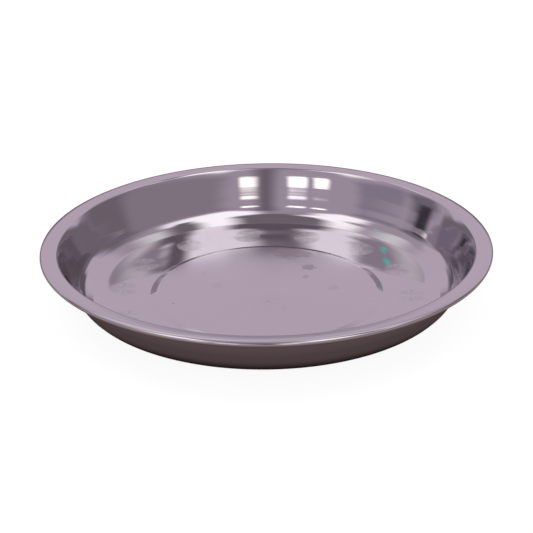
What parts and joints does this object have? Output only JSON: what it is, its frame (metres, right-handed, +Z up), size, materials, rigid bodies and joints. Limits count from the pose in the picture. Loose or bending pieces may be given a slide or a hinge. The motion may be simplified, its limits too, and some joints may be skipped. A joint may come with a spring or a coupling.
{
  "type": "thali plate",
  "caption": "Round rimmed dinner plate pressed from polished steel sheet, with a raised flat centre, a stepped wall, a flat brim that rolls over into a curled edge; holds a meal and its bowls.",
  "frame": {"origin": "middle of the underside, on the plane that the plate stands on", "axes": "+Z up along the axis of the plate; +X to the right and +Y away from the viewer in the pictured view; the shape is the same all the way round +Z"},
  "size_m": [0.3, 0.3, 0.037],
  "materials": {
    "polished_sheet": "mirror polished stainless steel with faint spinning marks",
    "curled_edge": "mirror polished stainless steel"
  },
  "bodies": {
    "root": {"plate_body": "polished_sheet", "rim_bead": "curled_edge"}
  },
  "joints": []
}
